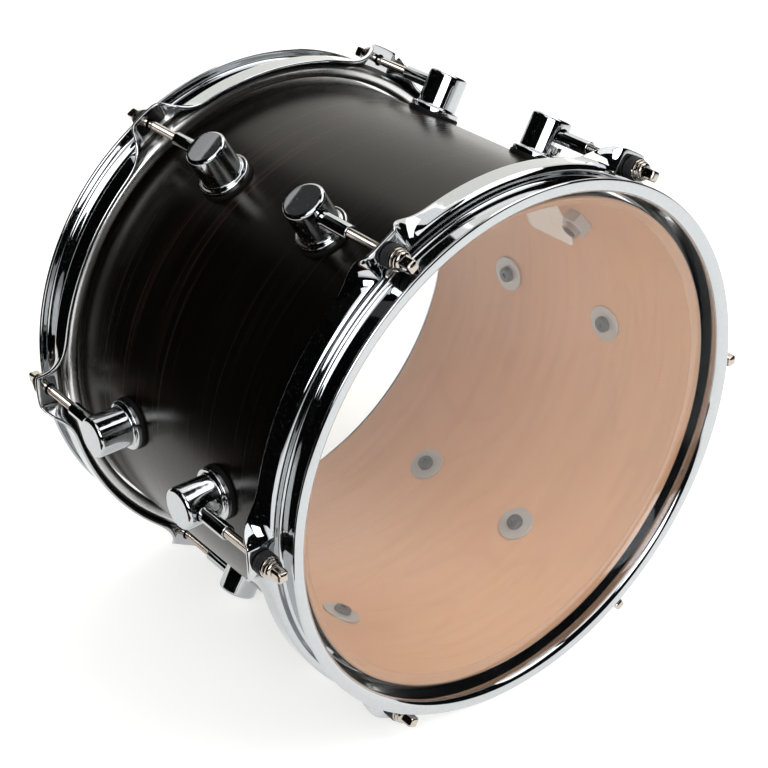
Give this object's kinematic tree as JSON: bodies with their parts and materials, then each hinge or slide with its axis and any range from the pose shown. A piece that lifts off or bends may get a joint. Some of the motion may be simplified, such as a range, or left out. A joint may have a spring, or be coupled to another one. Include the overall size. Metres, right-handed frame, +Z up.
{
  "type": "tom drum with drum heads",
  "caption": "Tom drum with clear film heads held by flanged steel hoops, threaded tension rods and round swivel lugs on a dark stained wooden shell.",
  "frame": {"origin": "on the floor under the middle of the drum, which lies on the skirts of its two hoops", "axes": "+Z up; the drum's axis is parallel to Y, with the batter head towards +Y and the resonant head towards -Y; +X to the right when facing the resonant head"},
  "size_m": [0.358, 0.2634, 0.3301],
  "materials": {
    "maple": "clear satin lacquer",
    "stained_ply": "dark brown-black stain under satin lacquer",
    "chrome": "polished chrome plate",
    "nickel": "nickel plate",
    "steel": "zinc plate",
    "dark_steel": "black zinc",
    "nylon": "black nylon",
    "rubber": "black rubber",
    "film": "clear polyester film",
    "aluminium": "brushed",
    "resin": "cast resin"
  },
  "bodies": {
    "shell": {"shell_core": "maple", "shell_outer_ply": "stained_ply", "vent_grommet": "chrome", "vent_nut": "steel", "lug_washers": "steel", "set_screws": "steel", "batter_lug_gaskets": "rubber", "batter_lug_bolts": "dark_steel", "batter_lug_1": "chrome", "batter_lug_2": "chrome", "batter_lug_3": "chrome", "batter_lug_4": "chrome", "batter_lug_5": "chrome", "batter_lug_6": "chrome", "batter_receiver_1": "chrome", "batter_receiver_2": "chrome", "batter_receiver_3": "chrome", "batter_receiver_4": "chrome", "batter_receiver_5": "chrome", "batter_receiver_6": "chrome", "resonant_lug_gaskets": "rubber", "resonant_lug_bolts": "dark_steel", "resonant_lug_1": "chrome", "resonant_lug_2": "chrome", "resonant_lug_3": "chrome", "resonant_lug_4": "chrome", "resonant_lug_5": "chrome", "resonant_lug_6": "chrome", "resonant_receiver_1": "chrome", "resonant_receiver_2": "chrome", "resonant_receiver_3": "chrome", "resonant_receiver_4": "chrome", "resonant_receiver_5": "chrome", "resonant_receiver_6": "chrome"},
    "batter_hoop": {"batter_hoop": "chrome", "batter_hoop_rim": "chrome", "batter_nylon_washers": "nylon", "batter_steel_washers": "steel"},
    "batter_head": {"batter_film": "film", "batter_flesh_hoop": "aluminium", "batter_resin_ring": "resin"},
    "batter_rod_1": {"batter_rod_1": "nickel"},
    "batter_rod_2": {"batter_rod_2": "nickel"},
    "batter_rod_3": {"batter_rod_3": "nickel"},
    "batter_rod_4": {"batter_rod_4": "nickel"},
    "batter_rod_5": {"batter_rod_5": "nickel"},
    "batter_rod_6": {"batter_rod_6": "nickel"},
    "resonant_hoop": {"resonant_hoop": "chrome", "resonant_hoop_rim": "chrome", "resonant_nylon_washers": "nylon", "resonant_steel_washers": "steel"},
    "resonant_head": {"resonant_film": "film", "resonant_flesh_hoop": "aluminium", "resonant_resin_ring": "resin"},
    "resonant_rod_1": {"resonant_rod_1": "nickel"},
    "resonant_rod_2": {"resonant_rod_2": "nickel"},
    "resonant_rod_3": {"resonant_rod_3": "nickel"},
    "resonant_rod_4": {"resonant_rod_4": "nickel"},
    "resonant_rod_5": {"resonant_rod_5": "nickel"},
    "resonant_rod_6": {"resonant_rod_6": "nickel"}
  },
  "joints": [
    {"name": "batter_hoop_lift", "type": "slide", "parent": "shell", "child": "batter_hoop", "axis": [0, 1, 0], "range_m": [0, 0.06]},
    {"name": "batter_head_lift", "type": "slide", "parent": "shell", "child": "batter_head", "axis": [0, 1, 0], "range_m": [0, 0.03]},
    {"name": "batter_rod_1_turn", "type": "hinge", "parent": "batter_hoop", "child": "batter_rod_1", "pos_m": [0.17, 0.112, 0.1646], "axis": [0, 1, 0], "continuous": true},
    {"name": "batter_rod_2_turn", "type": "hinge", "parent": "batter_hoop", "child": "batter_rod_2", "pos_m": [0.085, 0.112, 0.31182], "axis": [0, 1, 0], "continuous": true},
    {"name": "batter_rod_3_turn", "type": "hinge", "parent": "batter_hoop", "child": "batter_rod_3", "pos_m": [-0.085, 0.112, 0.31182], "axis": [0, 1, 0], "continuous": true},
    {"name": "batter_rod_4_turn", "type": "hinge", "parent": "batter_hoop", "child": "batter_rod_4", "pos_m": [-0.17, 0.112, 0.1646], "axis": [0, 1, 0], "continuous": true},
    {"name": "batter_rod_5_turn", "type": "hinge", "parent": "batter_hoop", "child": "batter_rod_5", "pos_m": [-0.085, 0.112, 0.01738], "axis": [0, 1, 0], "continuous": true},
    {"name": "batter_rod_6_turn", "type": "hinge", "parent": "batter_hoop", "child": "batter_rod_6", "pos_m": [0.085, 0.112, 0.01738], "axis": [0, 1, 0], "continuous": true},
    {"name": "resonant_hoop_lift", "type": "slide", "parent": "shell", "child": "resonant_hoop", "axis": [0, -1, 0], "range_m": [0, 0.06]},
    {"name": "resonant_head_lift", "type": "slide", "parent": "shell", "child": "resonant_head", "axis": [0, -1, 0], "range_m": [0, 0.03]},
    {"name": "resonant_rod_1_turn", "type": "hinge", "parent": "resonant_hoop", "child": "resonant_rod_1", "pos_m": [0.17, -0.112, 0.1646], "axis": [0, -1, 0], "continuous": true},
    {"name": "resonant_rod_2_turn", "type": "hinge", "parent": "resonant_hoop", "child": "resonant_rod_2", "pos_m": [0.085, -0.112, 0.31182], "axis": [0, -1, 0], "continuous": true},
    {"name": "resonant_rod_3_turn", "type": "hinge", "parent": "resonant_hoop", "child": "resonant_rod_3", "pos_m": [-0.085, -0.112, 0.31182], "axis": [0, -1, 0], "continuous": true},
    {"name": "resonant_rod_4_turn", "type": "hinge", "parent": "resonant_hoop", "child": "resonant_rod_4", "pos_m": [-0.17, -0.112, 0.1646], "axis": [0, -1, 0], "continuous": true},
    {"name": "resonant_rod_5_turn", "type": "hinge", "parent": "resonant_hoop", "child": "resonant_rod_5", "pos_m": [-0.085, -0.112, 0.01738], "axis": [0, -1, 0], "continuous": true},
    {"name": "resonant_rod_6_turn", "type": "hinge", "parent": "resonant_hoop", "child": "resonant_rod_6", "pos_m": [0.085, -0.112, 0.01738], "axis": [0, -1, 0], "continuous": true}
  ],
  "couplings": [
    {"joint": "batter_head_lift", "follows": "batter_hoop_lift", "ratio": 0.5},
    {"joint": "batter_rod_1_turn", "follows": "batter_hoop_lift", "rad_per_m": 5936.9},
    {"joint": "batter_rod_2_turn", "follows": "batter_hoop_lift", "rad_per_m": 5936.9},
    {"joint": "batter_rod_3_turn", "follows": "batter_hoop_lift", "rad_per_m": 5936.9},
    {"joint": "batter_rod_4_turn", "follows": "batter_hoop_lift", "rad_per_m": 5936.9},
    {"joint": "batter_rod_5_turn", "follows": "batter_hoop_lift", "rad_per_m": 5936.9},
    {"joint": "batter_rod_6_turn", "follows": "batter_hoop_lift", "rad_per_m": 5936.9},
    {"joint": "resonant_head_lift", "follows": "resonant_hoop_lift", "ratio": 0.5},
    {"joint": "resonant_rod_1_turn", "follows": "resonant_hoop_lift", "rad_per_m": 5936.9},
    {"joint": "resonant_rod_2_turn", "follows": "resonant_hoop_lift", "rad_per_m": 5936.9},
    {"joint": "resonant_rod_3_turn", "follows": "resonant_hoop_lift", "rad_per_m": 5936.9},
    {"joint": "resonant_rod_4_turn", "follows": "resonant_hoop_lift", "rad_per_m": 5936.9},
    {"joint": "resonant_rod_5_turn", "follows": "resonant_hoop_lift", "rad_per_m": 5936.9},
    {"joint": "resonant_rod_6_turn", "follows": "resonant_hoop_lift", "rad_per_m": 5936.9}
  ]
}
